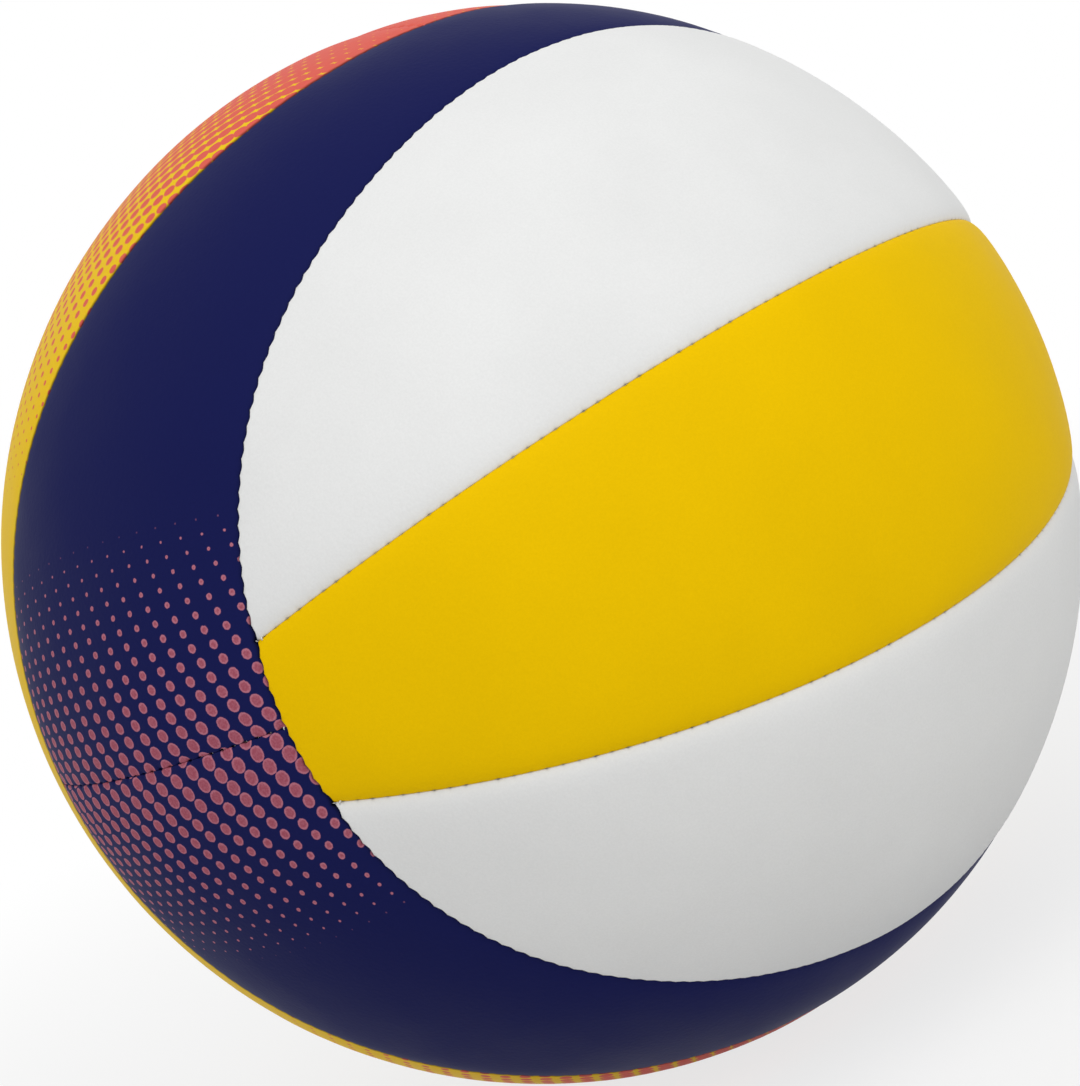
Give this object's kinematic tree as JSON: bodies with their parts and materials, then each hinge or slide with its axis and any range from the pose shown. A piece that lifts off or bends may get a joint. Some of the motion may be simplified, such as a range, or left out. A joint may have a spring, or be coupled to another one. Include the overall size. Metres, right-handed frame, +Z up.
{
  "type": "volleyball",
  "caption": "Sewn beach volleyball with rolled panel seams, a foam-backed soft cover over a rubber bladder, and a needle valve.",
  "frame": {"origin": "centre of the ball", "axes": "-Y out through the pole of the front cap, whose strips run along X; +Y out along the valve; +Z up across the front strips"},
  "size_m": [0.2132, 0.2131, 0.2132],
  "materials": {
    "cover_white": "soft satin synthetic leather with fine wrinkle grain",
    "cover_yellow": "soft satin synthetic leather with fine wrinkle grain",
    "cover_navy": "soft satin synthetic leather, navy with a coral dot halftone at the ends",
    "cover_coral_yellow": "soft satin synthetic leather, yellow with a coral dot halftone at the ends",
    "foam": "closed-cell foam sheet",
    "lining_cloth": "plain woven cotton and polyester cloth",
    "seam_thread": "twisted polyester thread",
    "bladder_rubber": "butyl rubber with a little chalk bloom",
    "valve_rubber": "moulded rubber",
    "valve_core_rubber": "moulded rubber, matt"
  },
  "bodies": {
    "root": {"cover_front_middle": "cover_yellow", "cover_front_upper": "cover_white", "cover_front_lower": "cover_white", "cover_front_belt_upper": "cover_navy", "cover_front_belt_lower": "cover_navy", "cover_back_middle": "cover_yellow", "cover_back_right": "cover_white", "cover_back_left": "cover_white", "cover_back_belt_right": "cover_coral_yellow", "cover_back_belt_left": "cover_coral_yellow", "foam_front_middle": "foam", "foam_front_upper": "foam", "foam_front_lower": "foam", "foam_front_belt_upper": "foam", "foam_front_belt_lower": "foam", "foam_back_middle": "foam", "foam_back_right": "foam", "foam_back_left": "foam", "foam_back_belt_right": "foam", "foam_back_belt_left": "foam", "lining_front_middle": "lining_cloth", "lining_front_upper": "lining_cloth", "lining_front_lower": "lining_cloth", "lining_front_belt_upper": "lining_cloth", "lining_front_belt_lower": "lining_cloth", "lining_back_middle": "lining_cloth", "lining_back_right": "lining_cloth", "lining_back_left": "lining_cloth", "lining_back_belt_right": "lining_cloth", "lining_back_belt_left": "lining_cloth", "thread_front_strip_upper": "seam_thread", "thread_front_strip_lower": "seam_thread", "thread_front_cap": "seam_thread", "thread_front_end_right": "seam_thread", "thread_front_end_left": "seam_thread", "thread_back_strip_right": "seam_thread", "thread_back_strip_left": "seam_thread", "thread_back_cap": "seam_thread", "thread_back_end_upper": "seam_thread", "thread_back_end_lower": "seam_thread", "thread_halves": "seam_thread", "bladder": "bladder_rubber", "valve_patch": "bladder_rubber", "valve_housing": "valve_rubber", "valve_core": "valve_core_rubber"}
  },
  "joints": []
}
